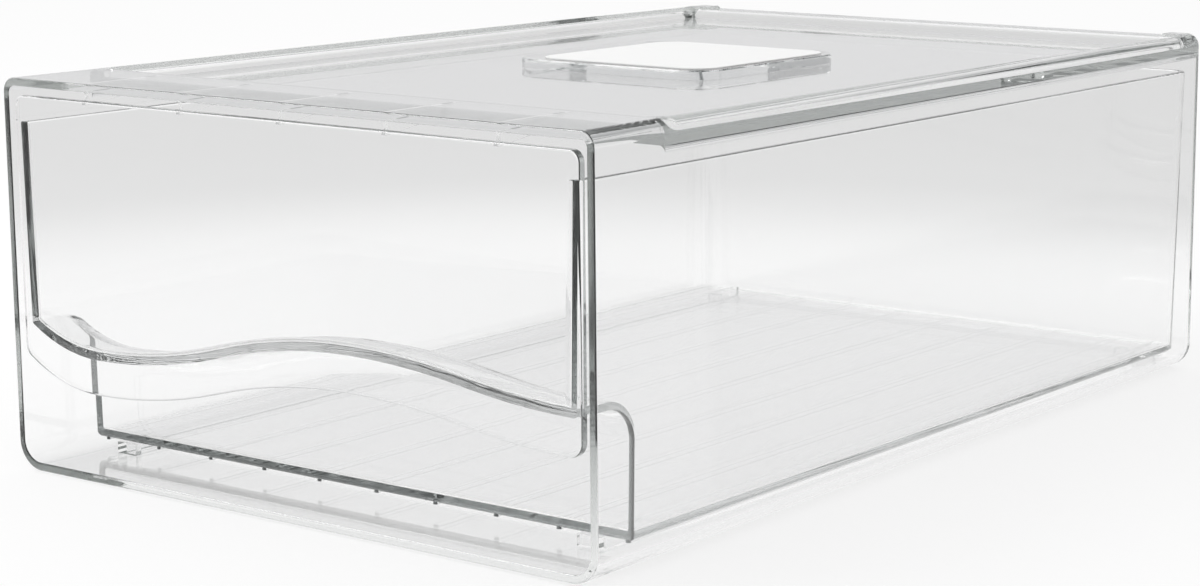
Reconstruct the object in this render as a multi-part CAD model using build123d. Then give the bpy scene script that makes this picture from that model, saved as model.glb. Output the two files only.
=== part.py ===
from build123d import *
import os
from math import radians, tan

# A clear stackable fridge drawer: a moulded case, open at the front, and the drawer that slides in it.
# The drawer's front turns under a wavy edge into a pocket, so that fingers reach up behind the lip.
# Millimetres. The origin is the centre of the case's plan, on the surface that it stands on.
# The front faces -Y, the width runs along X and +Z is up.

# Case
case_width = 200.0
case_depth = 306.0
case_body_height = 106.0
case_wall = 2.2
case_side_taper = 2.5  # how much nearer the middle each side is at the back than at the front
case_bottom_radius = 8.0
case_top_radius = 4.0
case_back_radius = 3.5
case_rim_radius = 0.5

# Shallow foot under the case, which drops into the tray of another case below
foot_height = 0.6
foot_side_inset = 12.0
foot_corner_radius = 20.0

# Sunk tray in the top, behind a flat front band
tray_depth = 4.0
tray_side_rim = 4.8
tray_front_band = 30.0
tray_back_rim = 9.0
tray_corner_radius = 5.0
back_relief_depth = 1.0
back_relief_post = 12.0

# Stiffening webs under the front band, which also stop the closed drawer
web_count = 5
web_side_inset = 25.2  # from the tray's side to the outermost web
web_thickness = 1.2
web_overlap = 1.2  # how far a web hangs below the top of the drawer front
web_nose = 1.5  # how far back a web keeps its full height

# Rails on the case floor that the drawer slides on, each with a stop at its front end
rail_side_inset = 11.5  # from the drawer's side to the middle of a rail
rail_width = 2.4
rail_height = 3.1
rail_front_inset = 20.5
stop_width = 7.0
stop_length = 2.0
tab_width = 4.0
tab_length = 3.0
tab_back_inset = 14.0

# Drawer
drawer_wall = 2.0
drawer_floor = 2.0
drawer_headroom = 5.3  # from the top of its side walls to the ceiling under the tray
drawer_draft = 1.1  # degrees, on every wall
drawer_back_corner_radius = 6.0
drawer_bottom_radius = 1.5
drawer_bottom_inner_radius = 1.0
drawer_pocket_edge_radius = 1.0  # outside only: inside, this corner is sharp
drawer_front_corner_radius = 1.5  # inside, where the front plate meets the sides and the shelf
drawer_top_edge_radius = 0.6

# Drawer front: a plate that stands past the box at its sides, above and below
panel_thickness = 2.0
panel_overlap = 1.2
panel_top_radius = 3.0
panel_bottom_radius = 4.0
panel_edge_radius = 0.6

# Wavy shelf, lip and finger pocket; heights are of the shelf's underside above the case's underside
pocket_depth = 20.5
pocket_radius = 9.0
shelf_thickness = 2.0
lip_drop = 9.3
wave_left_height = 41.8
wave_trough_from_left = 27.7
wave_trough_height = 33.1
wave_crest_from_right = 73.7
wave_crest_height = 45.4
wave_right_height = 39.2

# Stiffening ribs under the drawer floor, clear of the rails
rib_count = 10
rib_side_inset = 4.5  # from the drawer's side to the middle of the outermost rib
rib_width = 1.6
rib_height = 0.8

# Label pad, which lies in the tray, and the bare label on it
pad_size = 70.0
pad_thickness = 2.7
pad_corner_radius = 10.0
pad_edge_chamfer = 0.4
label_width = 60.0
label_length = 64.0
label_thickness = 0.3
label_corner_radius = 8.0
label_side_shift = 2.5

# Clearances
slide_gap = 0.3  # over the rails, under the tabs and before a stop is met
rail_gap = 0.4  # between a tab and the rail beside it
panel_side_gap = 2.1
panel_top_gap = 2.3
drawer_back_gap = 1.8
stacking_gap = 1.5  # before and behind the foot of a case stacked on this one

# Worked out from the sizes above
case_front = -case_depth / 2
case_back = case_depth / 2
case_half = case_width / 2
case_underside = foot_height
case_floor_top = case_underside + case_wall
case_top = case_underside + case_body_height
band_underside = case_top - case_wall
tray_floor = case_top - tray_depth
tray_front = case_front + tray_front_band
tray_back = case_back - tray_back_rim
tray_half = case_half - tray_side_rim
panel_back = case_front + panel_thickness
panel_half = case_half - case_wall - panel_side_gap
panel_top = band_underside - panel_top_gap
drawer_half = panel_half - panel_overlap
drawer_back = case_back - case_wall - drawer_back_gap
rail_top = case_floor_top + rail_height
drawer_underside = rail_top + slide_gap
drawer_top = tray_floor - case_wall - drawer_headroom
pocket_back = case_front + pocket_depth
web_span = 2 * (tray_half - web_side_inset)
web_bottom = panel_top - web_overlap
rib_span = 2 * (drawer_half - rib_side_inset)
rail_span = 2 * (drawer_half - rail_side_inset)
tab_front = drawer_back - tab_back_inset - tab_length
rail_front = case_front + rail_front_inset
stop_back = rail_front + stop_length
margin = 10.0  # how far a cutting shape runs past what it cuts


def case_block(inset, top, back):
    """Solid block of the case, narrower towards the back and drawn in by inset all round but at the front."""
    front_half = case_half - inset
    back_half = front_half - case_side_taper * (back - case_front) / case_depth
    bottom = case_underside + inset
    plan = Polyline(
        (-front_half, case_front, bottom),
        (front_half, case_front, bottom),
        (back_half, back, bottom),
        (-back_half, back, bottom),
        close=True,
    )
    block = extrude(make_face(plan), top - bottom, dir=(0, 0, 1))
    side_edges = block.edges().filter_by(Axis.Z, reverse=True).filter_by(Axis.X, reverse=True)
    block = fillet(side_edges.group_by(Axis.Z)[0], case_bottom_radius - inset)
    side_edges = block.edges().filter_by(Axis.Z, reverse=True).filter_by(Axis.X, reverse=True)
    top_edges = [e for e in side_edges if e.bounding_box().min.Z > top - 0.01]
    block = fillet(top_edges, case_top_radius - inset)
    return fillet(block.faces().sort_by(Axis.Y)[-1].edges(), case_back_radius - inset)


def case_cavity():
    """Inside of the case: low under the tray, and higher under the front band."""
    inner_back = case_back - case_wall
    under_tray = case_block(case_wall, tray_floor - case_wall, inner_back)
    under_band = case_block(case_wall, band_underside, inner_back)
    band_length = tray_front_band - case_wall
    band_zone = Pos(0, case_front + band_length / 2, case_top / 2) * Box(
        2 * case_width, band_length, 2 * case_top
    )
    return under_tray + (under_band & band_zone)


def tray_cut():
    """Sunk tray in the top, with the shallow relief across the rim behind it."""
    length = tray_back - tray_front
    plan = Pos(0, (tray_front + tray_back) / 2, tray_floor) * RectangleRounded(
        2 * tray_half, length, tray_corner_radius
    )
    tray = extrude(plan, tray_depth + margin)
    relief_half = case_half - back_relief_post
    relief = Pos(0, case_back, case_top) * Box(
        2 * relief_half, 2 * tray_back_rim + 1, 2 * back_relief_depth
    )
    return tray + relief


def web(x):
    """One gusset under the front band: deepest at its front, and run out at the wall of the tray."""
    front = panel_back + slide_gap
    root = case_top - case_wall / 2
    side = Polyline(
        (front, web_bottom),
        (front + web_nose, web_bottom),
        (tray_front - case_wall, band_underside),
        (tray_front - case_wall, root),
        (front, root),
        close=True,
    )
    return extrude(Plane.YZ.offset(x - web_thickness / 2) * make_face(side), web_thickness)


def rail(side):
    """One rail on the case floor, with its stop: a block that reaches inwards from the rail's front end."""
    root = case_floor_top - case_wall / 2
    back = case_back - case_wall / 2
    height = rail_top - root
    bar = Pos(rail_span / 2, (rail_front + back) / 2, root + height / 2) * Box(
        rail_width, back - rail_front, height
    )
    outside = (rail_span + rail_width) / 2
    block = Pos(outside - stop_width / 2, rail_front + stop_length / 2, root + height / 2) * Box(
        stop_width, stop_length, height
    )
    both = bar + block
    return both if side > 0 else mirror(both, about=Plane.YZ)


def make_case():
    """The case: one moulding, open at the front."""
    body = case_block(0, case_top, case_back) - case_cavity() - tray_cut()
    body = fillet(body.faces().sort_by(Axis.Y)[0].edges(), case_rim_radius)
    foot_length = tray_back - tray_front - 2 * stacking_gap
    foot_plan = Pos(0, (tray_front + tray_back) / 2) * RectangleRounded(
        case_width - 2 * foot_side_inset, foot_length, foot_corner_radius
    )
    body += extrude(foot_plan, foot_height + case_wall / 2)
    for step in range(web_count):
        body += web((step / (web_count - 1) - 0.5) * web_span)
    for side in (-1, 1):
        body += rail(side)
    return body


def wave(rise):
    """The wavy line in the X-Z plane: tangent arcs from edge to edge of the drawer front, raised by rise."""
    base = case_underside + rise
    left = Vector(-panel_half, base + wave_left_height)
    trough = Vector(wave_trough_from_left - panel_half, base + wave_trough_height)
    crest = Vector(panel_half - wave_crest_from_right, base + wave_crest_height)
    right = Vector(panel_half, base + wave_right_height)
    climb_middle = (trough + crest) / 2
    fall_middle = (crest + right) / 2
    return [
        TangentArc(trough, left, tangent=(-1, 0)),
        TangentArc(trough, climb_middle, tangent=(1, 0)),
        TangentArc(crest, climb_middle, tangent=(-1, 0)),
        TangentArc(crest, fall_middle, tangent=(1, 0)),
        TangentArc(right, fall_middle, tangent=(-1, 0)),
    ]


def above_or_below(rise, level):
    """Face between the wave and a level line, as wide as the drawer front."""
    left_end = (-panel_half, case_underside + rise + wave_left_height)
    right_end = (panel_half, case_underside + rise + wave_right_height)
    sides = Polyline(right_end, (panel_half, level), (-panel_half, level), left_end)
    return make_face([*wave(rise), sides])


def under_wave(rise, depth, radius):
    """Pocket shape: all that lies in front of a depth and under the wave, rounded at its top back edge."""
    back = case_front + depth
    shape = extrude(Plane.XZ.offset(-back) * above_or_below(rise, -margin), depth + margin)
    back_edges = shape.edges().filter_by_position(Axis.Y, back - 0.01, back + 0.01)
    top_back = [e for e in back_edges if e.bounding_box().min.Z > case_underside]
    return fillet(top_back, radius)


def drawer_block(inset, bottom, top):
    """Drafted block of the drawer behind its front plate, drawn in by inset, less the finger pocket."""
    half, back = drawer_half - inset, drawer_back - inset
    plan = Pos(0, (panel_back + back) / 2, bottom) * Rectangle(2 * half, back - panel_back)
    plan = fillet(plan.vertices().group_by(Axis.Y)[-1], drawer_back_corner_radius - inset)
    block = extrude(plan, top - bottom)
    walls = [f for f in block.faces() if abs(f.normal_at().Z) < 0.1 and f.center().Y > panel_back + 0.1]
    block = draft(walls, Plane.XY.offset(drawer_top), -drawer_draft)
    rise = shelf_thickness if inset else 0
    return block - under_wave(rise, pocket_depth + inset, pocket_radius + inset)


def side_chain(block):
    """Edges where the finger pocket meets the sides of the block, from its front down to its base."""
    chain = []
    for edge in block.edges().filter_by_position(Axis.Y, panel_back - 0.1, pocket_back + drawer_wall + 0.1):
        low, high = edge.bounding_box().min, edge.bounding_box().max
        beside = high.X - low.X < drawer_wall and high.Z > low.Z - 1 and high.Z < drawer_top - 1
        if beside and high.Y > panel_back + 1 and high.Z > block.bounding_box().min.Z + 1:
            chain.append(edge)
    return chain


def make_box():
    """Drawer box with its shelf and pocket: an outer skin less an inner one."""
    outer = drawer_block(0, drawer_underside, drawer_top)
    outer = fillet(side_chain(outer), drawer_pocket_edge_radius)
    outer = fillet(outer.faces().sort_by(Axis.Z)[0].edges(), drawer_bottom_radius)
    inner = drawer_block(drawer_wall, drawer_underside + drawer_floor, drawer_top + margin)
    inner = fillet(inner.faces().sort_by(Axis.Z)[0].edges(), drawer_bottom_inner_radius)
    front_loop = [e for e in inner.faces().sort_by(Axis.Y)[0].edges() if e.bounding_box().min.Z < drawer_top]
    inner = fillet(front_loop, drawer_front_corner_radius)
    box = outer - inner
    rim = [e for e in box.faces().sort_by(Axis.Z)[-1].edges() if e.bounding_box().max.Y > panel_back + 0.1]
    rim = [e for e in rim if e.bounding_box().max.Y - e.bounding_box().min.Y > 0.1 or (e @ 0.5).Y > 0]
    return fillet(rim, drawer_top_edge_radius)


def make_panel():
    """Front plate, whose lower edge is the lip: the wave again, lower by the lip's drop."""
    outline = above_or_below(-lip_drop, panel_top)
    outline = fillet(outline.vertices().group_by(Axis.Y)[-1], panel_top_radius)
    corners = [v for v in outline.vertices() if abs(v.X) > panel_half - 0.01 and v.Y < drawer_top - margin]
    outline = fillet(corners, panel_bottom_radius)
    plate = extrude(Plane.XZ.offset(-panel_back) * outline, panel_thickness)
    return fillet(plate.faces().sort_by(Axis.Y)[0].edges(), panel_edge_radius)


def rib(x):
    """One stiffening rib, with round ends, under the drawer floor."""
    front = pocket_back + drawer_bottom_radius
    back = drawer_back - (drawer_top - drawer_underside) * tan(radians(drawer_draft)) - drawer_bottom_radius
    plan = Pos(x, (front + back) / 2, drawer_underside - rib_height)
    return extrude(plan * Rot(0, 0, 90) * SlotOverall(back - front, rib_width), rib_height + drawer_floor / 2)


def tab(side):
    """One tab under the back of the drawer, inside a rail, which meets its stop when the drawer is fully out."""
    bottom = case_floor_top + slide_gap
    top = drawer_underside + drawer_floor / 2
    x = (rail_span - rail_width - tab_width) / 2 - rail_gap
    return Pos(side * x, tab_front + tab_length / 2, (bottom + top) / 2) * Box(
        tab_width, tab_length, top - bottom
    )


def make_drawer():
    """The drawer: box, front plate, ribs and tabs in one moulding."""
    drawer = make_box() + make_panel()
    for step in range(rib_count):
        drawer += rib((step / (rib_count - 1) - 0.5) * rib_span)
    for side in (-1, 1):
        drawer += tab(side)
    return drawer


def make_pad():
    """Clear pad in the middle of the tray."""
    middle = (tray_front + tray_back) / 2
    plan = Pos(0, middle, tray_floor) * RectangleRounded(pad_size, pad_size, pad_corner_radius)
    pad = extrude(plan, pad_thickness)
    return chamfer(pad.faces().sort_by(Axis.Z)[-1].edges(), pad_edge_chamfer)


def make_label():
    """Bare label on the pad, nearer to one side."""
    middle = (tray_front + tray_back) / 2
    plan = Pos(label_side_shift, middle, tray_floor + pad_thickness) * RectangleRounded(
        label_width, label_length, label_corner_radius
    )
    return extrude(plan, label_thickness)


os.makedirs("parts", exist_ok=True)
travel = tab_front - stop_back - slide_gap
print("drawer travel", round(travel, 2))
parts = {"case": make_case(), "drawer": make_drawer(), "label_pad": make_pad(), "label": make_label()}
for name, shape in parts.items():
    export_step(shape, f"parts/{name}.step")
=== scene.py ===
import bmesh
import bpy
import math
from mathutils import Matrix, Vector


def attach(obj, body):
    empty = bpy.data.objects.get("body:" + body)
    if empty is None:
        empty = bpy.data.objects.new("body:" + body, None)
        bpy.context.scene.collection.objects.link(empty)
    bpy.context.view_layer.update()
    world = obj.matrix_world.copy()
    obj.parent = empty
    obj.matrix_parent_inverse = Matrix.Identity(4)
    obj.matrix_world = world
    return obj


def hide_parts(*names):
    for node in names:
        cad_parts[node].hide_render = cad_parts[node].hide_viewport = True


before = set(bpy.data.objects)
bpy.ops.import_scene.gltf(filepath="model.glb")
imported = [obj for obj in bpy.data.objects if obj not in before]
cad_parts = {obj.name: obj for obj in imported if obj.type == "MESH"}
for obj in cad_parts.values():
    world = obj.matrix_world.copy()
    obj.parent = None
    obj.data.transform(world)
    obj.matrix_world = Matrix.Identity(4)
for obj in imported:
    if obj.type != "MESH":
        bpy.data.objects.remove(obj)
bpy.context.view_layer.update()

# The case is one clear PET injection moulding with 2.2 mm walls, open at the front, with a sunk tray in its top.
# The CAD solid is its true shape. It is copied with its facets joined and shaded smooth, so that its rounded edges
# bend light evenly.


def moulding(name, node, body, smooth_angle=32):
    """A joined, smoothly shaded copy of a CAD node, which stands for it and rides on the same body."""
    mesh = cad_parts[node].data.copy()
    mesh.name = name
    mesh.materials.clear()
    work = bmesh.new()
    work.from_mesh(mesh)
    bmesh.ops.remove_doubles(work, verts=work.verts, dist=1e-6)
    bmesh.ops.dissolve_degenerate(work, edges=work.edges, dist=1e-7)
    for face in work.faces:
        face.smooth = True
    for edge in work.edges:
        edge.smooth = len(edge.link_faces) == 2 and edge.calc_face_angle(0) < math.radians(smooth_angle)
    work.to_mesh(mesh)
    work.free()
    for layer in ("custom_normal", "sharp_face"):
        if layer in mesh.attributes:
            mesh.attributes.remove(mesh.attributes[layer])
    piece = bpy.data.objects.new(name, mesh)
    bpy.context.scene.collection.objects.link(piece)
    weights = piece.modifiers.new("flat faces lead", "WEIGHTED_NORMAL")
    weights.keep_sharp = True
    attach(piece, body)
    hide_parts(node)
    return piece


def linear(code):
    """An sRGB hex colour as linear RGBA."""
    parts = [int(code[i : i + 2], 16) / 255 for i in (1, 3, 5)]
    return [c / 12.92 if c <= 0.04045 else ((c + 0.055) / 1.055) ** 2.4 for c in parts] + [1]


def node(tree, kind, inputs=None, **settings):
    """Adds a node, sets it, and links or fills its inputs."""
    made = tree.nodes.new(kind)
    for key, value in settings.items():
        setattr(made, key, value)
    for key, value in (inputs or {}).items():
        if isinstance(value, bpy.types.NodeSocket):
            tree.links.new(value, made.inputs[key])
        else:
            made.inputs[key].default_value = value
    return made


def fade(tree, value, start, end):
    """A smooth climb from 0 at start to 1 at end."""
    return node(
        tree, "ShaderNodeMapRange",
        {"Value": value, "From Min": start, "From Max": end, "To Min": 0.0, "To Max": 1.0},
        interpolation_type="SMOOTHSTEP",
    ).outputs["Result"]


def blend(tree, share, first, second):
    """The first colour, turning into the second as the share goes from 0 to 1."""
    return node(tree, "ShaderNodeMix", {"Factor": share, 6: first, 7: second}, data_type="RGBA").outputs[2]


def greater(tree, first, second):
    """The greater of two values."""
    return node(tree, "ShaderNodeMath", {0: first, 1: second}, operation="MAXIMUM").outputs[0]


def empty_material(name):
    """A new material with no nodes."""
    material = bpy.data.materials.new(name)
    material.use_nodes = True
    material.node_tree.nodes.clear()
    return material


# Injection-moulded PET: colourless, with a polished skin. A slow waviness, about 30 mm from crest to crest, comes
# from uneven cooling, and wobbles what is seen through it. A long way through the plastic looks grey, at the edges.
def clear_plastic(name, tint, density, wave_mm, wave_depth_mm, haze):
    material = empty_material(name)
    tree = material.node_tree
    place = node(tree, "ShaderNodeTexCoord").outputs["Object"]
    waves = node(
        tree, "ShaderNodeTexNoise",
        {"Vector": place, "Scale": 1000 / wave_mm, "Detail": 1.0, "Roughness": 0.4},
    )
    bump = node(
        tree, "ShaderNodeBump",
        {"Strength": 1.0, "Distance": wave_depth_mm / 1000, "Height": waves.outputs["Fac"]},
    )
    rubs = node(tree, "ShaderNodeTexNoise", {"Vector": place, "Scale": 1000 / 9, "Detail": 4.0, "Roughness": 0.6})
    rough = node(
        tree, "ShaderNodeMapRange",
        {"Value": rubs.outputs["Fac"], "From Min": 0.35, "From Max": 0.75, "To Min": haze[0], "To Max": haze[1]},
    )
    skin = node(
        tree, "ShaderNodeBsdfPrincipled",
        {
            "Base Color": linear("#FFFFFF"), "Roughness": rough.outputs["Result"], "IOR": 1.575,
            "Transmission Weight": 1.0, "Normal": bump.outputs["Normal"],
        },
    )
    depth = node(tree, "ShaderNodeVolumeAbsorption", {"Color": linear(tint), "Density": density})
    node(tree, "ShaderNodeOutputMaterial", {"Surface": skin.outputs[0], "Volume": depth.outputs[0]})
    return material


case = moulding("case_moulding", "case", "case")
case_plastic = clear_plastic("clear PET, injection moulded", "#C3C7C5", 6.5, 30, 0.012, (0.0, 0.02))
case.data.materials.append(case_plastic)

# The drawer is a second PET moulding. Its front plate, wavy shelf, lip and pocket are one wall that turns over, and
# ten low ribs stiffen its floor. It is a little thinner than the case, and as clear.
drawer = moulding("drawer_moulding", "drawer", "drawer")
drawer_plastic = clear_plastic("clear PET, thin-walled moulding", "#C5C9C8", 6.5, 26, 0.010, (0.0, 0.02))
drawer.data.materials.append(drawer_plastic)

# The pad is a clear plate with round corners that lies in the tray. Its underside is lifted 0.05 mm, so that a film
# of air parts it from the tray, and its edge stays pale.
def lift_underside(piece, rise_mm):
    """Raises the lowest face of a piece a little, to leave a film of air below it."""
    foot = min(vertex.co.z for vertex in piece.data.vertices)
    for vertex in piece.data.vertices:
        if vertex.co.z < foot + 0.0001:
            vertex.co.z += rise_mm / 1000


pad = moulding("clear_pad", "label_pad", "case")
lift_underside(pad, 0.05)
pad_plastic = clear_plastic("clear acrylic plate, polished", "#CDD1D1", 4.0, 18, 0.008, (0.0, 0.03))
pad.data.materials.append(pad_plastic)

# The label is bare white film with a matt face, cut with round corners, on top of the pad. Its underside is lifted
# 0.03 mm, and that film of air lets light run along the pad, so that the pad's edge stays pale.
label = moulding("bare_label", "label", "case")
lift_underside(label, 0.03)
film = empty_material("white vinyl film, matt")
tree = film.node_tree
place = node(tree, "ShaderNodeTexCoord").outputs["Object"]
grain = node(tree, "ShaderNodeTexNoise", {"Vector": place, "Scale": 1000 / 0.8, "Detail": 3.0})
tone = blend(tree, grain.outputs["Fac"], linear("#F6F6F5"), linear("#FBFBFB"))
bump = node(tree, "ShaderNodeBump", {"Strength": 0.15, "Distance": 0.0002, "Height": grain.outputs["Fac"]})
face = node(
    tree, "ShaderNodeBsdfPrincipled",
    {"Base Color": tone, "Roughness": 0.55, "Normal": bump.outputs["Normal"]},
)
node(tree, "ShaderNodeOutputMaterial", {"Surface": face.outputs[0]})
label.data.materials.append(film)

# The floor is a white table. The camera, reflections and the clear plastic see it white near the object; further off,
# reflections and plastic see the light grey of the room. A share of plain matt white keeps the object's soft shadow.
floor_mesh = bpy.data.meshes.new("floor")
work = bmesh.new()
bmesh.ops.create_grid(work, x_segments=1, y_segments=1, size=6)
work.to_mesh(floor_mesh)
work.free()
floor = bpy.data.objects.new("floor", floor_mesh)
bpy.context.scene.collection.objects.link(floor)
white_table = empty_material("white table")
tree = white_table.node_tree
place = node(tree, "ShaderNodeTexCoord").outputs["Object"]
reach = node(tree, "ShaderNodeVectorMath", {0: place}, operation="LENGTH")
far = fade(tree, reach.outputs["Value"], 0.28, 0.52)
room = blend(tree, far, linear("#FFFFFF"), linear("#D9D9D9"))
path = node(tree, "ShaderNodeLightPath")
seen = blend(tree, path.outputs["Is Camera Ray"], room, linear("#FFFFFF"))
glow = node(tree, "ShaderNodeEmission", {"Color": seen, "Strength": 1.0})
matt = node(tree, "ShaderNodeBsdfDiffuse", {"Color": linear("#FAFAFA")})
bounced = greater(tree, path.outputs["Is Camera Ray"], path.outputs["Is Glossy Ray"])
shown = greater(tree, bounced, path.outputs["Is Transmission Ray"])
share = node(tree, "ShaderNodeMath", {0: shown, 1: 0.8}, operation="MULTIPLY")
both = node(tree, "ShaderNodeMixShader", {0: share.outputs[0], 1: matt.outputs[0], 2: glow.outputs[0]})
node(tree, "ShaderNodeOutputMaterial", {"Surface": both.outputs[0]})
floor_mesh.materials.append(white_table)

# The room is plain: an even white light on everything matt. Reflections and the plastic's edges see a room that is
# pale at the horizon behind the object, and darker overhead and in front, which draws the edges of clear plastic.
world = bpy.data.worlds.new("plain room")
bpy.context.scene.world = world
world.use_nodes = True
tree = world.node_tree
tree.nodes.clear()
way = node(tree, "ShaderNodeSeparateXYZ", {0: node(tree, "ShaderNodeTexCoord").outputs["Generated"]})
climb = fade(tree, way.outputs["Z"], 0.05, 0.75)
forward = fade(tree, way.outputs["Y"], 0.2, -0.6)
level = blend(tree, forward, linear("#E0E0E1"), linear("#A8A9AA"))
sides = blend(tree, climb, level, linear("#A2A4A4"))
path = node(tree, "ShaderNodeLightPath")
clear = greater(tree, path.outputs["Is Glossy Ray"], path.outputs["Is Transmission Ray"])
even = node(tree, "ShaderNodeBackground", {"Color": linear("#FFFFFF"), "Strength": 0.85})
room = node(tree, "ShaderNodeBackground", {"Color": sides, "Strength": 1.0})
white = node(tree, "ShaderNodeBackground", {"Color": linear("#FFFFFF"), "Strength": 1.0})
mixed = node(tree, "ShaderNodeMixShader", {0: clear, 1: even.outputs[0], 2: room.outputs[0]})
final = node(
    tree, "ShaderNodeMixShader",
    {0: path.outputs["Is Camera Ray"], 1: mixed.outputs[0], 2: white.outputs[0]},
)
node(tree, "ShaderNodeOutputWorld", {"Surface": final.outputs[0]})

# One broad soft lamp above and to the left gives the rims and the pad their bright lines.
lamp = bpy.data.lights.new("soft window", "AREA")
lamp.shape = "RECTANGLE"
lamp.size, lamp.size_y = 0.9, 0.6
lamp.energy = 6
lamp_object = bpy.data.objects.new("soft window", lamp)
lamp_object.location = (-0.7, -0.5, 1.1)
lamp_object.rotation_euler = (Vector((0, 0, 0.05)) - lamp_object.location).to_track_quat("-Z", "Y").to_euler()
bpy.context.scene.collection.objects.link(lamp_object)

# The camera stands where the photograph was taken from: to the right of the front and a little above the top.
# Its place was fitted to the corners of the case. Focus and middle are in pixels of the photograph.
around, above, roll = math.radians(35.55), math.radians(10.47), math.radians(0.06)
picture_width, picture_height = 1200, 586
focus, middle_x, middle_y = 2780.9, 751.3, 295.6
aim, distance = Vector((0.03394, 0, 0.03938)), 0.79265
look = Vector((-math.sin(around) * math.cos(above), math.cos(around) * math.cos(above), -math.sin(above)))
right = Vector((math.cos(around), math.sin(around), 0))
up = right.cross(look)
right, up = right * math.cos(roll) + up * math.sin(roll), up * math.cos(roll) - right * math.sin(roll)
lens = bpy.data.cameras.new("camera")
lens.sensor_width = 36
lens.lens = focus * lens.sensor_width / picture_width
lens.shift_x = (picture_width / 2 - middle_x) / picture_width
lens.shift_y = (middle_y - picture_height / 2) / picture_width
lens.clip_start = 0.02
camera = bpy.data.objects.new("camera", lens)
turn = Matrix((right, up, -look)).transposed().to_4x4()
camera.matrix_world = Matrix.Translation(aim - look * distance) @ turn
bpy.context.scene.collection.objects.link(camera)
bpy.context.scene.camera = camera

# Light runs along inside the walls by many total reflections, which count as glossy. Cut short, those paths end in
# black, and so do the edges of the plastic.
most_bounces = 90
bpy.context.scene.view_settings.view_transform = "Standard"
bpy.context.scene.cycles.max_bounces = most_bounces
bpy.context.scene.cycles.transmission_bounces = most_bounces
bpy.context.scene.cycles.glossy_bounces = most_bounces
